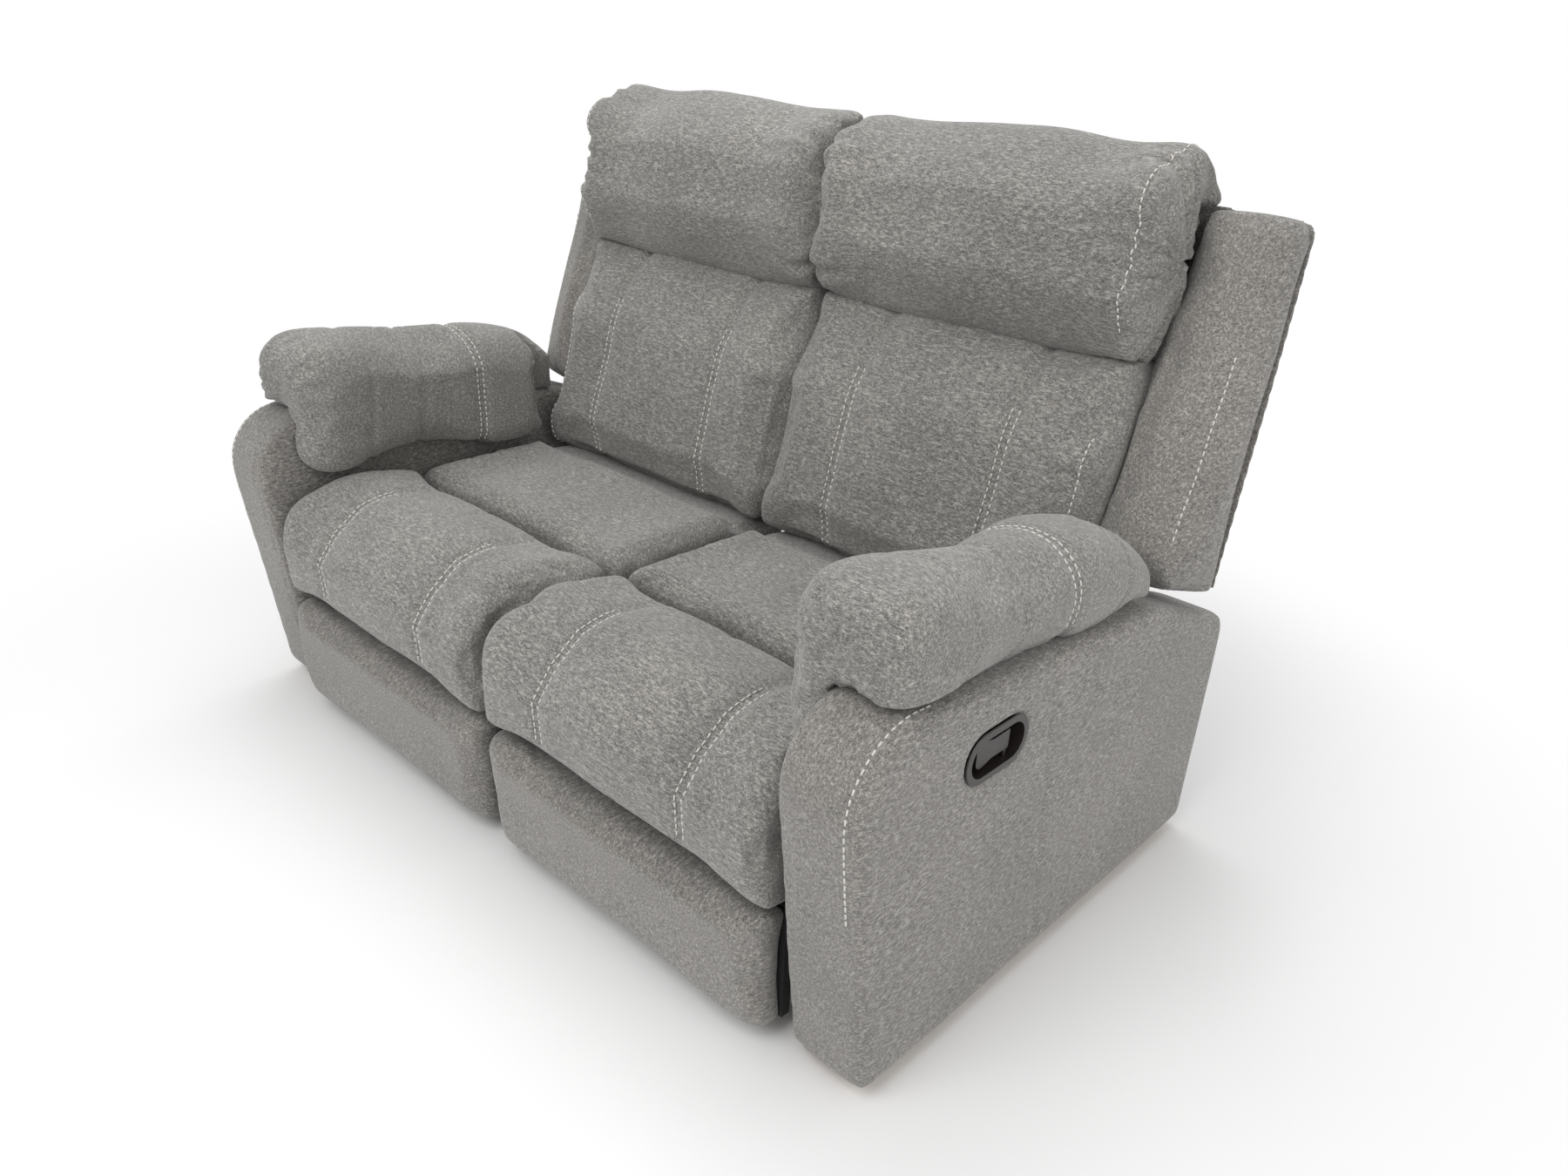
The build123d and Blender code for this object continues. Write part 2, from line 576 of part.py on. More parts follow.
# Back
def back_frame():
    inner_x = SEAT_BOX_IN_X - LAYER_A
    outer_x = SEAT_BOX_OUT_X + LAYER_A
    n_range = (-COVER_THICKNESS - BACK_POST_DEPTH, -COVER_THICKNESS)
    h_range = (BACK_BOTTOM_H, BACK_TOP_H)
    frame = block((inner_x, inner_x + BACK_POST_WIDTH), n_range, h_range)
    frame += block((outer_x - BACK_POST_WIDTH, outer_x), n_range, h_range)
    for bottom_h in (BACK_BOTTOM_H, BACK_TOP_H - BACK_RAIL_HEIGHT):
        frame += block((inner_x, outer_x), n_range, (bottom_h, bottom_h + BACK_RAIL_HEIGHT))
    frame += block((inner_x, outer_x), (n_range[0], n_range[0] + BACK_PANEL), h_range)
    for wing_h in WING_RAIL_H:
        frame += block((outer_x, WING_INNER_X), n_range, (wing_h, wing_h + WING_RAIL_HEIGHT))
    return BACK_FRAME * frame


def back_bracket():
    """Steel plate screwed to a back post, hinged on the seat plate and driven below the hinge."""
    seat_n = -COVER_THICKNESS - BACK_POST_DEPTH * 2 / 3
    seats = [BACK_FRAME * Pos(0, seat_n, BACK_BOTTOM_H + BACK_RAIL_HEIGHT * step) for step in (0.5, 2)]
    seat_points = [(seat.position.Y, seat.position.Z) for seat in seats]
    bracket = strip([RECLINE_PIVOT, DRIVE_END, *seat_points], LINK_RADIUS, LAYER_A)
    bracket -= rod(RECLINE_PIVOT, BIG_PIN_RADIUS + RUNNING_FIT, LAYER_A, LAYER_A + STEEL)
    return bracket + rod(DRIVE_END, PIN_RADIUS, LAYER_A + STEEL, LAYER_C + STEEL)


def back_cover():
    points = [
        (SEAT_CLEAR_X + REST_SIDE_CLEAR, BACK_BOTTOM_H),
        (WING_INNER_X, BACK_BOTTOM_H),
        (WING_INNER_X, WING_GAP / 2),
        (WING_OUTER_X, WING_GAP / 2),
        (WING_OUTER_X, WING_TOP_H),
        (WING_INNER_X, BACK_TOP_H),
        (SEAT_CLEAR_X + REST_SIDE_CLEAR, BACK_TOP_H),
    ]
    face = outline(points, [8, 8, 0, 8, WING_ROUND, 0, 8])
    return BACK_FRAME * extrude(Plane.XZ * face, COVER_THICKNESS)


def lumbar_profile(draw):
    rear = -COVER_THICKNESS - BACK_POST_DEPTH - SOFT_CLEAR
    points = [
        (rear, LUMBAR_BOTTOM_H),
        (rear, LUMBAR_TOP_H),
        (CREASE_N + draw / 2, LUMBAR_TOP_H),
        (LUMBAR_FACE_N + END_ROUND + draw, (LUMBAR_TOP_H + LUMBAR_BOTTOM_H) * 0.8),
        (LUMBAR_FACE_N + draw, LUMBAR_BOTTOM_H / 2),
        (LUMBAR_FACE_N + END_DRAW_IN + draw, LUMBAR_BOTTOM_H),
    ]
    return outline(points, [5, 5, 30, 120, 90, 24])


def head_profile(draw):
    rear = -COVER_THICKNESS - BACK_POST_DEPTH - SOFT_CLEAR
    foot = LUMBAR_TOP_H + HEAD_GAP
    lap = BACK_TOP_H + HEAD_GAP
    points = [
        (rear, foot),
        (rear, lap),
        (-COVER_THICKNESS, lap),
        (-COVER_THICKNESS - draw, HEAD_TOP_H - END_ROUND - draw),
        ((HEAD_FACE_N - COVER_THICKNESS) / 2, HEAD_TOP_H - draw),
        (HEAD_FACE_N + draw, HEAD_TOP_H - 2 * END_ROUND - draw),
        (HEAD_FACE_N + draw, foot + 2 * END_ROUND),
        (CREASE_N + draw / 2, foot),
    ]
    return outline(points, [5, 0, 5, 34, 90, 60, 60, 20])


def back_cushion(profile):
    return BACK_FRAME * cushion(profile)


def wing():
    def section(h, inner_n, outer_n, draw):
        points = [
            (WING_INNER_X, -COVER_THICKNESS - SOFT_CLEAR - draw),
            (WING_INNER_X, inner_n + draw),
            (WING_OUTER_X - draw, outer_n + draw),
            (WING_OUTER_X - draw, -COVER_THICKNESS - SOFT_CLEAR - draw),
        ]
        return Pos(0, 0, h) * outline(points, [4, 10, WING_ROUND, 12])

    def station(share, draw):
        """A section a share of the way up, with the front bulging between foot and head."""
        bulge = WING_BULGE * 4 * share * (1 - share)
        inner_n = WING_FOOT_INNER_N + (WING_HEAD_INNER_N - WING_FOOT_INNER_N) * share - bulge
        outer_n = WING_FOOT_OUTER_N + (WING_HEAD_OUTER_N - WING_FOOT_OUTER_N) * share - bulge / 2
        return section(WING_TOP_H * share, inner_n, outer_n, draw)

    cap = WING_ROUND / WING_TOP_H
    sections = [station(share / 4 * (1 - cap), 0) for share in range(5)]
    sections += [station(1 - cap / 4, WING_ROUND / 4), station(1, WING_ROUND / 2)]
    arm_room = across(arm_profile(-WING_GAP), ARM_INNER_X - ARM_WALL, ARM_THICKNESS + 2 * ARM_WALL)
    return BACK_FRAME * lofted(sections, ruled=True) - arm_room


# Export: one node per file, both seats
def write_node(name, solids):
    solids = list(solids) if isinstance(solids, (list, tuple)) else [solids]
    bodies = [solid for shape in solids for solid in shape.solids()]
    shape = bodies[0] if len(bodies) == 1 else Compound(children=bodies)
    export_step(shape, f"parts/{name}.step")


def write_pair(name, solids):
    """A node for the right half and its mirror for the left half."""
    solids = solids if isinstance(solids, list) else [solids]
    write_node(f"{name}_right", solids)
    write_node(f"{name}_left", [mirror(solid, Plane.YZ) for solid in solids])


os.makedirs("parts", exist_ok=True)

plates = on_both_sides(base_plate())
write_node("front_rail", cross_rail(FRONT_RAIL_Y))
write_node("rear_rail", cross_rail(REAR_RAIL_Y))
write_node("base_plates", plates + [mirror(plate, Plane.YZ) for plate in plates])
write_node("feet", feet())

write_pair("arm_frame", arm_frame())
write_pair("arm_cover", arm_cover())
write_pair("arm_pad", arm_pad())
write_pair("handle_cup", handle_cup())
write_pair("handle_lever", handle_lever())

write_pair("seat_frame", seat_frame())
write_pair("seat_webbing", seat_webbing())
write_pair("seat_plates", on_both_sides(seat_plate()))
write_pair("seat_cushion", cushion(seat_cushion_profile))
write_pair("front_cushion", cushion(front_cushion_profile))

write_pair("swing_links_front", on_both_sides(swing_link(BASE_FRONT_PIVOT, SWING_FRONT_PIVOT, [])))
write_pair("swing_links_rear", on_both_sides(swing_link(BASE_REAR_PIVOT, SWING_REAR_PIVOT, [DRIVE_START])))
write_pair("back_drive_links", on_both_sides(back_drive_link()))

write_pair("footrest_tube", rest_tube())
write_pair("footrest_rear_links", on_both_sides(rest_rear_link()))
write_pair("footrest_front_links", on_both_sides(rest_front_link()))
write_pair("footrest_lower_links", on_both_sides(rest_lower_link()))
write_pair("footrest_upper_links", on_both_sides(rest_upper_link()))
write_pair("footrest_brackets", on_both_sides(rest_bracket()))
write_pair("footrest_board", rest_board())
write_pair("footrest_pad", rest_pad())

write_pair("back_frame", back_frame())
write_pair("back_brackets", on_both_sides(back_bracket()))
write_pair("back_cover", back_cover())
write_pair("lumbar_cushion", back_cushion(lumbar_profile))
write_pair("head_cushion", back_cushion(head_profile))
write_pair("wing", wing())
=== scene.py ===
import json
import math

import bmesh
import bpy
import numpy as np
from mathutils import Matrix, Vector, noise
from mathutils.bvhtree import BVHTree


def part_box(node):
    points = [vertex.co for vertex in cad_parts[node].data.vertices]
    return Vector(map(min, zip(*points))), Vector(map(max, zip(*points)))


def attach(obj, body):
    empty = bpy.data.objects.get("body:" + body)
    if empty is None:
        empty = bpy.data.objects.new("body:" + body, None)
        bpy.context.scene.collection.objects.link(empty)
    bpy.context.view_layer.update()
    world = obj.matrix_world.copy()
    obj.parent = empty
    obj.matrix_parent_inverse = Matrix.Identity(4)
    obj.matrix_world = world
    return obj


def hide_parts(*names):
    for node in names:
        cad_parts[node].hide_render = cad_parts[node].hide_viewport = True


# A two-seat reclining loveseat in heathered grey fabric. Metres; front is -Y, Z up.
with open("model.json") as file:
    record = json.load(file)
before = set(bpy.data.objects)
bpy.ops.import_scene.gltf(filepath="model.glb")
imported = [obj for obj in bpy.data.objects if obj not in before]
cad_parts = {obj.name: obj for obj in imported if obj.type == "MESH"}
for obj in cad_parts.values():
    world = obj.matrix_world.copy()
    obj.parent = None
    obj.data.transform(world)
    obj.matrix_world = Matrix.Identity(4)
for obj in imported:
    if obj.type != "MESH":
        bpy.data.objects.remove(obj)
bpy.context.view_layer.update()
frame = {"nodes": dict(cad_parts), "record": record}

SIDES = {"right": 1, "left": -1}
SEAT_MIDDLE_X = 0.302
CHANNEL_OFFSET = 0.148
VOXEL = 0.0065
SHRINK = 0.005
SWELL_CAP = 0.011
SWELL_FRAMES = 18
STITCH_LENGTH = 0.0068
STITCH_PITCH = 0.0105
STITCH_RADIUS = 0.0013
STITCH_ROW_GAP = 0.0065
BACK_LEAN = math.radians(9.3)
BACK_UP = (0, math.sin(BACK_LEAN), math.cos(BACK_LEAN))
BACK_DOWN = (0, -math.sin(BACK_LEAN), -math.cos(BACK_LEAN))
BACK_REAR = (0, math.cos(BACK_LEAN), -math.sin(BACK_LEAN))
DOWN = (0, 0, -1)
PAD_FRONT_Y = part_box("arm_pad_right")[0][1]
PAD_SEAM_Y = -0.04
PAD_FOLDS_Y = (-0.27, -0.16, 0.085)
PAD_MIDDLE_X = 0.65
PAD_SEW_CENTRE = (0.645, 0.52)
SEAT_INNER_X = 0.003
SEAT_OUTER_X = 0.601
CUSHION_SEAM_X = 0.576
WING_SEAM_X = 0.712
ARM_SEAM_X = 0.719
ARM_STRIP_X = 0.632
SINGLE_ROW = (0,)
DOUBLE_ROW = (-STITCH_ROW_GAP, STITCH_ROW_GAP)

# Middles, in Y and Z, that the stitching rows are laid round
FRONT_CENTRE = (-0.3, 0.34)
LUMBAR_CENTRE = (0.28, 0.57)
HEAD_CENTRE = (0.33, 0.93)
WING_CENTRE = (0.42, 0.68)
ARM_CENTRE = (-0.25, 0.35)

# Camera found from the straight edges of the object
CAMERA_PLACE = (1.3426, -1.2466, 1.2024)
CAMERA_YAW = 42.41
CAMERA_PITCH = -25.77
CAMERA_ROLL = 2.68
CAMERA_LENS = 27.28


# Materials
def new_material(name, roughness):
    material = bpy.data.materials.new(name)
    material.use_nodes = True
    shader = material.node_tree.nodes["Principled BSDF"]
    shader.inputs["Roughness"].default_value = roughness
    return material, material.node_tree, shader


def node(tree, kind, inputs=(), **settings):
    made = tree.nodes.new(kind)
    for key, value in settings.items():
        setattr(made, key, value)
    for key, value in dict(inputs).items():
        if isinstance(value, bpy.types.NodeSocket):
            tree.links.new(value, made.inputs[key])
        else:
            made.inputs[key].default_value = value
    return made


def place_of(tree, scale):
    """Object coordinates, stretched so that a pattern is as fine as the real one."""
    coordinates = node(tree, "ShaderNodeTexCoord")
    mapping = node(tree, "ShaderNodeMapping", {"Vector": coordinates.outputs["Object"]})
    mapping.inputs["Scale"].default_value = scale
    return mapping.outputs["Vector"]


def ramp(tree, factor, stops):
    made = node(tree, "ShaderNodeValToRGB", {"Fac": factor})
    elements = made.color_ramp.elements
    while len(elements) < len(stops):
        elements.new(0.5)
    for element, (position, colour) in zip(elements, stops):
        element.position = position
        element.color = (*colour, 1)
    return made.outputs["Color"]


def fabric_material(name, dark, middle, light, along):
    """Heathered chenille: flecks drawn out along the yarn, slubs, and a fine rib in relief."""
    material, tree, shader = new_material(name, 0.92)
    across = [290.0, 290.0, 290.0]
    fine = [850.0, 850.0, 850.0]
    across[along] = 100.0
    fine[along] = 300.0
    fleck = node(tree, "ShaderNodeTexNoise", {"Vector": place_of(tree, fine), "Scale": 1.0, "Detail": 3.0})
    slub = node(tree, "ShaderNodeTexNoise", {"Vector": place_of(tree, across), "Scale": 1.0, "Detail": 4.0})
    patches = place_of(tree, (5, 5, 5))
    cloud = node(tree, "ShaderNodeTexNoise", {"Vector": patches, "Scale": 1.0, "Detail": 2.0})
    flecks = ramp(tree, fleck.outputs["Fac"], [(0.33, dark), (0.5, middle), (0.68, light)])
    slubs = ramp(tree, slub.outputs["Fac"], [(0.3, dark), (0.52, middle), (0.74, light)])
    weave = node(tree, "ShaderNodeMixRGB", {"Fac": 0.5, "Color1": flecks, "Color2": slubs})
    shade = ramp(tree, cloud.outputs["Fac"], [(0.3, (0.86, 0.86, 0.86)), (0.7, (1.05, 1.04, 1.03))])
    tint = node(tree, "ShaderNodeMixRGB", {"Fac": 1.0, "Color1": weave.outputs["Color"], "Color2": shade})
    tint.blend_type = "MULTIPLY"
    tree.links.new(tint.outputs["Color"], shader.inputs["Base Color"])
    slub_relief = {"Height": slub.outputs["Fac"], "Strength": 0.35, "Distance": 0.002}
    rough_bump = node(tree, "ShaderNodeBump", slub_relief)
    fleck_relief = {"Height": fleck.outputs["Fac"], "Strength": 0.45, "Distance": 0.001}
    bump = node(tree, "ShaderNodeBump", fleck_relief)
    tree.links.new(rough_bump.outputs["Normal"], bump.inputs["Normal"])
    tree.links.new(bump.outputs["Normal"], shader.inputs["Normal"])
    shader.inputs["Sheen Weight"].default_value = 0.25
    shader.inputs["Sheen Roughness"].default_value = 0.6
    return material


def thread_material():
    material, tree, shader = new_material("stitching_thread", 0.75)
    twist = node(tree, "ShaderNodeTexNoise", {"Vector": place_of(tree, (900, 900, 900)), "Scale": 1.0})
    colour = ramp(tree, twist.outputs["Fac"], [(0.3, (0.55, 0.53, 0.49)), (0.7, (0.78, 0.76, 0.71))])
    tree.links.new(colour, shader.inputs["Base Color"])
    return material


def plain_material(name, dark, light, scale, roughness, metallic=0.0, stretch=(1, 1, 1)):
    """Wood, coated steel or moulded plastic, told apart by colour, grain and gloss."""
    material, tree, shader = new_material(name, roughness)
    size = tuple(scale * part for part in stretch)
    grain = node(tree, "ShaderNodeTexNoise", {"Vector": place_of(tree, size), "Scale": 1.0, "Detail": 5.0})
    colour = ramp(tree, grain.outputs["Fac"], [(0.3, dark), (0.7, light)])
    tree.links.new(colour, shader.inputs["Base Color"])
    bump = node(tree, "ShaderNodeBump", {"Height": grain.outputs["Fac"], "Strength": 0.08, "Distance": 0.001})
    tree.links.new(bump.outputs["Normal"], shader.inputs["Normal"])
    shader.inputs["Metallic"].default_value = metallic
    return material


CUSHION_FABRIC = fabric_material(
    "cushion_fabric", dark=(0.04, 0.039, 0.037), middle=(0.185, 0.18, 0.168), light=(0.56, 0.54, 0.5), along=0
)
SIDE_FABRIC = fabric_material(
    "side_fabric", dark=(0.042, 0.04, 0.037), middle=(0.19, 0.181, 0.168), light=(0.54, 0.515, 0.475), along=1
)
THREAD = thread_material()
TIMBER = plain_material("frame_timber", (0.36, 0.24, 0.13), (0.6, 0.45, 0.28), 60, 0.7, stretch=(0.2, 1, 1))
STEEL = plain_material("coated_steel", (0.02, 0.02, 0.022), (0.045, 0.045, 0.05), 300, 0.45, metallic=0.3)
WEBBING = plain_material("webbing", (0.05, 0.045, 0.04), (0.13, 0.12, 0.11), 700, 0.9, stretch=(1, 0.2, 1))
HANDLE_PLASTIC = plain_material("handle_plastic", (0.014, 0.011, 0.01), (0.026, 0.021, 0.019), 500, 0.3)
LINING = plain_material("dark_lining", (0.012, 0.012, 0.012), (0.03, 0.03, 0.03), 800, 0.95)
FOOT_PLASTIC = plain_material("foot_plastic", (0.015, 0.015, 0.015), (0.03, 0.03, 0.03), 400, 0.6)
LINED_NODES = ("footrest_board", "seat_frame", "back_frame")
SLOT_MATERIALS = {
    "fabric": SIDE_FABRIC,
    "timber": TIMBER,
    "steel": STEEL,
    "webbing": WEBBING,
    "handle_plastic": HANDLE_PLASTIC,
    "foot_plastic": FOOT_PLASTIC,
}


# Mesh tools
def read_points(mesh, attribute="co"):
    values = np.empty(len(mesh.vertices) * 3)
    mesh.vertices.foreach_get(attribute, values)
    return values.reshape(-1, 3)


def write_points(mesh, points):
    mesh.vertices.foreach_set("co", points.ravel())
    mesh.update()


def finish_piece(piece, name, material, body, replaced=None):
    piece.name = name
    piece.data.materials.clear()
    piece.data.materials.append(material)
    for polygon in piece.data.polygons:
        polygon.use_smooth = True
    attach(piece, body)
    if replaced:
        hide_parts(replaced)
    return piece


def cover_copy(cad_name, voxel=VOXEL, easing=4):
    """An even skin of small faces over a soft solid, ready to swell and sew."""
    mesh = frame["nodes"][cad_name].data.copy()
    shape = bmesh.new()
    shape.from_mesh(mesh)
    bmesh.ops.remove_doubles(shape, verts=shape.verts, dist=1e-5)
    shape.to_mesh(mesh)
    shape.free()
    piece = bpy.data.objects.new(cad_name + "_cover", mesh)
    bpy.context.collection.objects.link(piece)
    remesh = piece.modifiers.new("skin", "REMESH")
    remesh.mode = "VOXEL"
    remesh.voxel_size = voxel
    smooth = piece.modifiers.new("ease", "SMOOTH")
    smooth.iterations = easing
    apply_modifiers(piece)
    return piece


def apply_modifiers(piece):
    graph = bpy.context.evaluated_depsgraph_get()
    mesh = bpy.data.meshes.new_from_object(piece.evaluated_get(graph))
    piece.modifiers.clear()
    piece.data = mesh


def swell(piece, shrink=SHRINK):
    """Air pressure rounds the cover like foam under cloth; no point moves past the cap."""
    start = read_points(piece.data)
    start -= shrink * read_points(piece.data, "normal")
    write_points(piece.data, start)
    cloth = piece.modifiers.new("swell", "CLOTH")
    cloth.settings.use_pressure = True
    cloth.settings.uniform_pressure_force = 4
    cloth.settings.quality = 3
    cloth.settings.effector_weights.gravity = 0
    cloth.point_cache.frame_end = SWELL_FRAMES
    scene = bpy.context.scene
    for number in range(1, SWELL_FRAMES + 1):
        scene.frame_set(number)
    graph = bpy.context.evaluated_depsgraph_get()
    moved = read_points(piece.evaluated_get(graph).data)
    piece.modifiers.clear()
    scene.frame_set(1)
    step = moved - start
    length = np.maximum(np.linalg.norm(step, axis=1, keepdims=True), 1e-9)
    write_points(piece.data, start + step * np.minimum(1, SWELL_CAP / length))


def press(piece, depth_at):
    """Moves each point along its normal by a depth worked out from its place and normal."""
    points = read_points(piece.data)
    normals = read_points(piece.data, "normal")
    depth = depth_at(points[:, 0], points[:, 1], points[:, 2], normals)
    write_points(piece.data, points - normals * depth[:, None])


def groove(distance, width, depth):
    return depth * np.exp(-((distance / width) ** 2))


def ripples(points, scale, seed):
    shift = Vector((seed, seed * 0.7, seed * 1.3))
    return np.array([noise.noise(Vector(point * scale) + shift) for point in points])


def rumple(piece, amount, scale, seed):
    """Slow unevenness of stuffed fabric."""
    points = read_points(piece.data)
    depth = amount * ripples(points, np.array(scale), seed)
    write_points(piece.data, points - read_points(piece.data, "normal") * depth[:, None])


def mirrored(piece):
    copy = bpy.data.objects.new(piece.name, piece.data.copy())
    bpy.context.collection.objects.link(copy)
    copy.data.transform(Matrix.Scale(-1, 4, (1, 0, 0)))
    copy.data.flip_normals()
    return copy


# Stitching: short raised threads laid on the finished cover
def surface_line(tree, centre, plane, turn_range, lengthwise=True, reach=0.7):
    """Points on a cover, met by rays towards a centre in a plane across X or Y, as (place, normal)."""
    found = []
    for angle in np.radians(np.arange(turn_range[0], turn_range[1], 0.4)):
        level = math.cos(angle)
        away = Vector((0, level, math.sin(angle)) if lengthwise else (level, 0, math.sin(angle)))
        middle = Vector((plane, *centre) if lengthwise else (centre[0], plane, centre[1]))
        place, normal, _, _ = tree.ray_cast(middle + away * reach, -away)
        if place is not None:
            found.append((place, normal))
    return found


def sew(piece_name, lines, body):
    """One mesh of dashes along each line of (place, normal) pairs."""
    shape = bmesh.new()
    for line in lines:
        travelled = 0.0
        next_at = 0.0
        for (here, normal), (there, _) in zip(line, line[1:]):
            step = (there - here).length
            if step > STITCH_PITCH:
                continue
            travelled += step
            if travelled < next_at:
                continue
            next_at = travelled + STITCH_PITCH
            along = (there - here).normalized()
            side = normal.cross(along).normalized()
            turn = Matrix((side, normal, along)).transposed().to_4x4()
            place = Matrix.Translation(here + normal * STITCH_RADIUS * 0.4) @ turn
            bmesh.ops.create_cone(
                shape, cap_ends=True, segments=6, radius1=STITCH_RADIUS, radius2=STITCH_RADIUS * 0.8,
                depth=STITCH_LENGTH, matrix=place,
            )
    mesh = bpy.data.meshes.new(piece_name)
    shape.to_mesh(mesh)
    shape.free()
    piece = bpy.data.objects.new(piece_name, mesh)
    bpy.context.collection.objects.link(piece)
    return finish_piece(piece, piece_name, THREAD, body)


def sewn_rows(piece, centre, turn_range, places, offsets):
    tree = BVHTree.FromObject(piece, bpy.context.evaluated_depsgraph_get())
    rows = [x + offset for x in places for offset in offsets]
    return [surface_line(tree, centre, x, turn_range) for x in rows]


def stretch(piece, reach, amount, axis):
    """Lets the last stretch of a cover out along an axis, to close the crease beside it."""
    points = read_points(piece.data)
    axis = np.array(axis)
    along = points @ axis
    share = np.clip((along - along.max() + reach) / reach, 0, 1)
    write_points(piece.data, points + axis * (amount * share)[:, None])


def channel_press(depth, width=0.012):
    """Twin sewn channels on the faces that a sitter meets."""
    def depth_at(x, y, z, normals):
        faced = np.clip(-normals[:, 1] + normals[:, 2] - 0.1, 0, 1)
        left = groove(np.abs(x - SEAT_MIDDLE_X + CHANNEL_OFFSET), width, depth)
        right = groove(np.abs(x - SEAT_MIDDLE_X - CHANNEL_OFFSET), width, depth)
        return (left + right) * faced
    return depth_at


def end_gathers(low_x, high_x, amount):
    """Puckers where the cover is gathered into its end seams, fading towards the middle."""
    def depth_at(x, y, z, normals):
        near = np.exp(-np.minimum(x - low_x, high_x - x) / 0.05)
        phase = np.arctan2(z - 0.92, y - 0.33) * 13 + 14 * x
        return amount * near * np.sin(phase + 2.0 * np.sin(3 * phase / 7))
    return depth_at


def pad_folds(x, y, z, normals):
    """Curved pull lines across the arm pad, and gathers at its front end."""
    bow = 1.05 * (x - PAD_MIDDLE_X) ** 2 - 0.12 * (0.6 - z)
    folds = sum(groove(np.abs(y - at - bow), 0.007, 0.0035) for at in PAD_FOLDS_Y)
    folds = folds + groove(np.abs(y - PAD_SEAM_Y), 0.012, 0.006)
    front = np.exp(-(y - PAD_FRONT_Y) / 0.035)
    angle = np.arctan2(z - 0.57, x - PAD_MIDDLE_X)
    return folds - 0.0032 * np.clip(front, 0, 1) * np.sin(17 * angle)


# Soft pieces of the right half, each mirrored for the left half
def dress(base, body, material, work, voxel=VOXEL, easing=4):
    right = cover_copy(base + "_right", voxel, easing)
    work(right)
    left = mirrored(right)
    for side, piece in (("right", right), ("left", left)):
        finish_piece(piece, f"{base}_{side}_cover", material, body.format(side), f"{base}_{side}")
    return right, left


def sew_pair(name, body, pieces, centre, turn_range, places, offsets=DOUBLE_ROW):
    for side, piece in zip(("right", "left"), pieces):
        sign = SIDES[side]
        rows = sewn_rows(piece, centre, turn_range, [sign * x for x in places], offsets)
        sew(f"{name}_{side}", rows, body.format(side))


def work_seat(piece):
    swell(piece)
    rumple(piece, 0.004, (5, 7, 7), 3)


def work_front(piece):
    swell(piece)
    press(piece, channel_press(0.009))
    rumple(piece, 0.003, (9, 7, 7), 8)
    stretch(piece, 0.08, 0.008, DOWN)


def work_lumbar(piece):
    swell(piece)
    press(piece, channel_press(0.008))
    rumple(piece, 0.006, (6, 6, 8), 14)
    stretch(piece, 0.06, 0.014, BACK_UP)


def work_head(piece):
    swell(piece)
    press(piece, end_gathers(SEAT_INNER_X, SEAT_OUTER_X, 0.005))
    rumple(piece, 0.006, (7, 7, 9), 21)
    stretch(piece, 0.08, 0.01, BACK_DOWN)


def work_wing(piece):
    swell(piece, 0.001)
    rumple(piece, 0.004, (9, 9, 5), 27)
    stretch(piece, 0.03, 0.004, BACK_REAR)


def work_pad(piece):
    swell(piece)
    press(piece, pad_folds)
    rumple(piece, 0.004, (8, 6, 8), 33)
    stretch(piece, 0.06, 0.014, DOWN)


def work_rest(piece):
    swell(piece, 0.002)
    rumple(piece, 0.0025, (6, 6, 6), 41)


def arm_seams(x, y, z, normals):
    """Sewn panel seams: one down the outer side, one along the inner edge of the front strip."""
    outer = groove(np.abs(y + 0.03 + 0.115 * (z - 0.02)), 0.0035, 0.003) * (normals[:, 0] > 0.8)
    front = groove(np.abs(x - ARM_STRIP_X), 0.0035, 0.003) * (normals[:, 1] < -0.5)
    return outer + front


def work_arm(piece):
    press(piece, arm_seams)
    rumple(piece, 0.0022, (5, 5, 5), 52)


def work_back_cover(piece):
    rumple(piece, 0.002, (4, 4, 4), 60)


seats = dress("seat_cushion", "seat_{}", CUSHION_FABRIC, work_seat)
fronts = dress("front_cushion", "seat_{}", CUSHION_FABRIC, work_front)
lumbars = dress("lumbar_cushion", "back_{}", CUSHION_FABRIC, work_lumbar)
heads = dress("head_cushion", "back_{}", CUSHION_FABRIC, work_head)
wings = dress("wing", "back_{}", SIDE_FABRIC, work_wing)
pads = dress("arm_pad", "base", CUSHION_FABRIC, work_pad)
rests = dress("footrest_pad", "footrest_{}", SIDE_FABRIC, work_rest)
arms = dress("arm_cover", "base", SIDE_FABRIC, work_arm, easing=24)
back_covers = dress("back_cover", "back_{}", SIDE_FABRIC, work_back_cover, 0.004)

channels = (SEAT_MIDDLE_X - CHANNEL_OFFSET, SEAT_MIDDLE_X + CHANNEL_OFFSET)
sew_pair("front_stitching", "seat_{}", fronts, FRONT_CENTRE, (88, 208), channels)
sew_pair("lumbar_stitching", "back_{}", lumbars, LUMBAR_CENTRE, (118, 238), channels)
for side, pad in zip(SIDES, pads):
    pad_tree = BVHTree.FromObject(pad, bpy.context.evaluated_depsgraph_get())
    pad_turn = (15, 225) if side == "right" else (-45, 165)
    pad_centre = (SIDES[side] * PAD_SEW_CENTRE[0], PAD_SEW_CENTRE[1])
    seams = [PAD_SEAM_Y + offset for offset in DOUBLE_ROW]
    pad_rows = [surface_line(pad_tree, pad_centre, y, pad_turn, lengthwise=False) for y in seams]
    sew(f"pad_stitching_{side}", pad_rows, "base")
sew_pair("arm_stitching", "base", arms, ARM_CENTRE, (112, 196), (ARM_SEAM_X,), SINGLE_ROW)
sew_pair("wing_stitching", "back_{}", wings, WING_CENTRE, (128, 212), (WING_SEAM_X,), SINGLE_ROW)
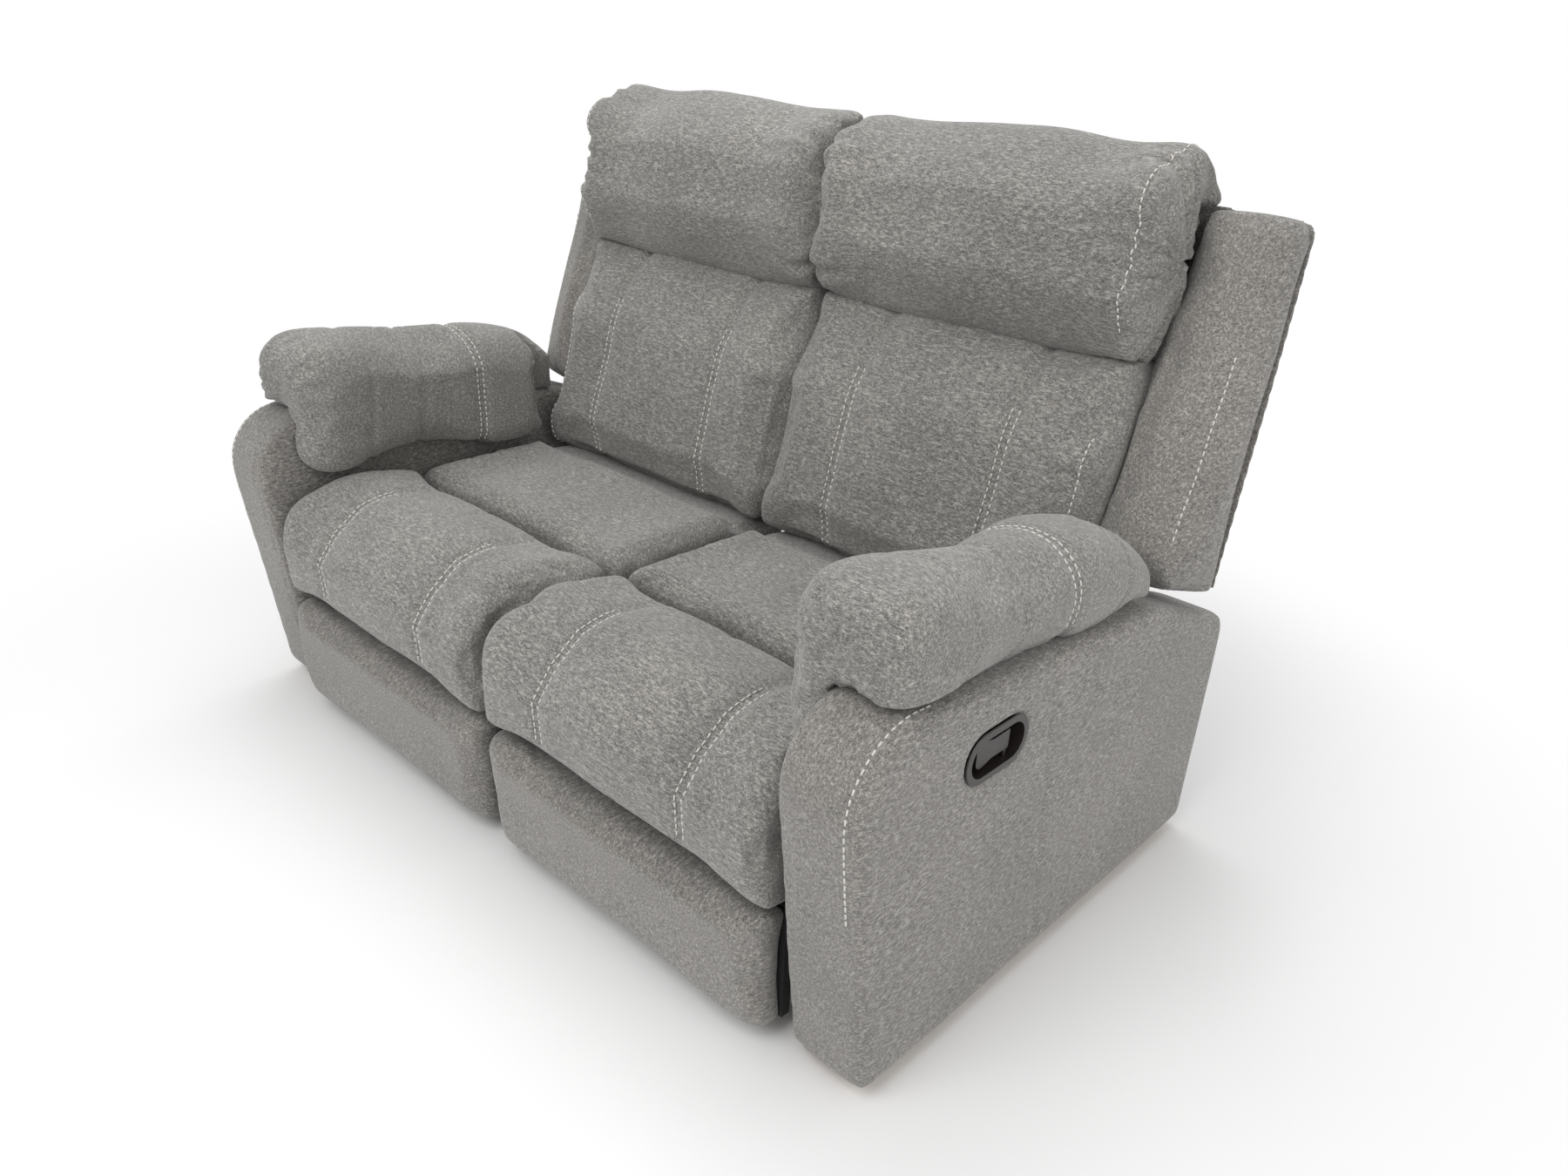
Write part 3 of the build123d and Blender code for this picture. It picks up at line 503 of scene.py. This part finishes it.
sew_pair("head_stitching", "back_{}", heads, HEAD_CENTRE, (20, 230), (CUSHION_SEAM_X,), SINGLE_ROW)
sew_pair(
    "lumbar_edge_stitching", "back_{}", lumbars, LUMBAR_CENTRE, (118, 238), (CUSHION_SEAM_X,), SINGLE_ROW
)

for entry in frame["record"]["subparts"]:
    target = frame["nodes"][entry["node"]]
    target.data.materials.clear()
    lined = entry["node"].startswith(LINED_NODES)
    target.data.materials.append(LINING if lined else SLOT_MATERIALS[entry["material_slot"]])


# Floor, light and camera
def floor():
    shape = bmesh.new()
    bmesh.ops.create_grid(shape, x_segments=1, y_segments=1, size=14)
    mesh = bpy.data.meshes.new("floor")
    shape.to_mesh(mesh)
    shape.free()
    piece = bpy.data.objects.new("floor", mesh)
    bpy.context.collection.objects.link(piece)
    material, tree, shader = new_material("pale_floor", 0.9)
    shader.inputs["Base Color"].default_value = (0.9, 0.9, 0.9, 1)
    place = node(tree, "ShaderNodeTexCoord")
    spread = node(tree, "ShaderNodeVectorMath", {0: place.outputs["Object"]}, operation="LENGTH")
    fade_range = {"Value": spread.outputs["Value"], "From Min": 0.95, "From Max": 1.7}
    fade = node(tree, "ShaderNodeMapRange", fade_range)
    fade.interpolation_type = "SMOOTHSTEP"
    path = node(tree, "ShaderNodeLightPath")
    seen = node(tree, "ShaderNodeMath", {0: fade.outputs["Result"], 1: path.outputs["Is Camera Ray"]})
    seen.operation = "MULTIPLY"
    white = node(tree, "ShaderNodeEmission", {"Color": (1, 1, 1, 1), "Strength": 1.0})
    mix = node(tree, "ShaderNodeMixShader", {0: seen.outputs[0], 1: shader.outputs[0], 2: white.outputs[0]})
    tree.links.new(mix.outputs[0], tree.nodes["Material Output"].inputs["Surface"])
    mesh.materials.append(material)


def lamp(name, place, aim, size, power):
    light = bpy.data.lights.new(name, "AREA")
    light.size = size
    light.energy = power
    made = bpy.data.objects.new(name, light)
    made.location = place
    made.rotation_euler = (Vector(aim) - Vector(place)).to_track_quat("-Z", "Y").to_euler()
    bpy.context.collection.objects.link(made)


def studio():
    world = bpy.data.worlds.new("studio")
    world.use_nodes = True
    bpy.context.scene.world = world
    tree = world.node_tree
    background = tree.nodes["Background"]
    background.inputs["Color"].default_value = (1, 1, 1, 1)
    path = node(tree, "ShaderNodeLightPath")
    seen = node(tree, "ShaderNodeMath", {0: path.outputs["Is Camera Ray"], 1: path.outputs["Is Glossy Ray"]})
    seen.operation = "MAXIMUM"
    strength = node(tree, "ShaderNodeMapRange", {"Value": seen.outputs[0], "To Min": 0.55, "To Max": 1.0})
    tree.links.new(strength.outputs["Result"], background.inputs["Strength"])
    lamp("key", (0.4, -2.6, 3.2), (0, 0, 0.5), 2.2, 62)
    lamp("fill", (3.0, -0.6, 1.6), (0.3, 0, 0.4), 2.0, 20)
    lamp("top", (-0.8, 0.6, 3.4), (0, 0, 0.5), 2.4, 40)


def camera():
    yaw, pitch, roll = (math.radians(angle) for angle in (CAMERA_YAW, CAMERA_PITCH, CAMERA_ROLL))
    ahead = Vector((-math.sin(yaw) * math.cos(pitch), math.cos(yaw) * math.cos(pitch), math.sin(pitch)))
    level = ahead.cross(Vector((0, 0, 1))).normalized()
    upright = level.cross(ahead)
    right = level * math.cos(roll) + upright * math.sin(roll)
    up = upright * math.cos(roll) - level * math.sin(roll)
    data = bpy.data.cameras.new("camera")
    data.sensor_width = 36
    data.lens = CAMERA_LENS
    made = bpy.data.objects.new("camera", data)
    turn = Matrix((right, up, -ahead)).transposed().to_4x4()
    made.matrix_world = Matrix.Translation(CAMERA_PLACE) @ turn
    bpy.context.collection.objects.link(made)
    bpy.context.scene.camera = made


floor()
studio()
camera()
bpy.context.scene.view_settings.view_transform = "Standard"
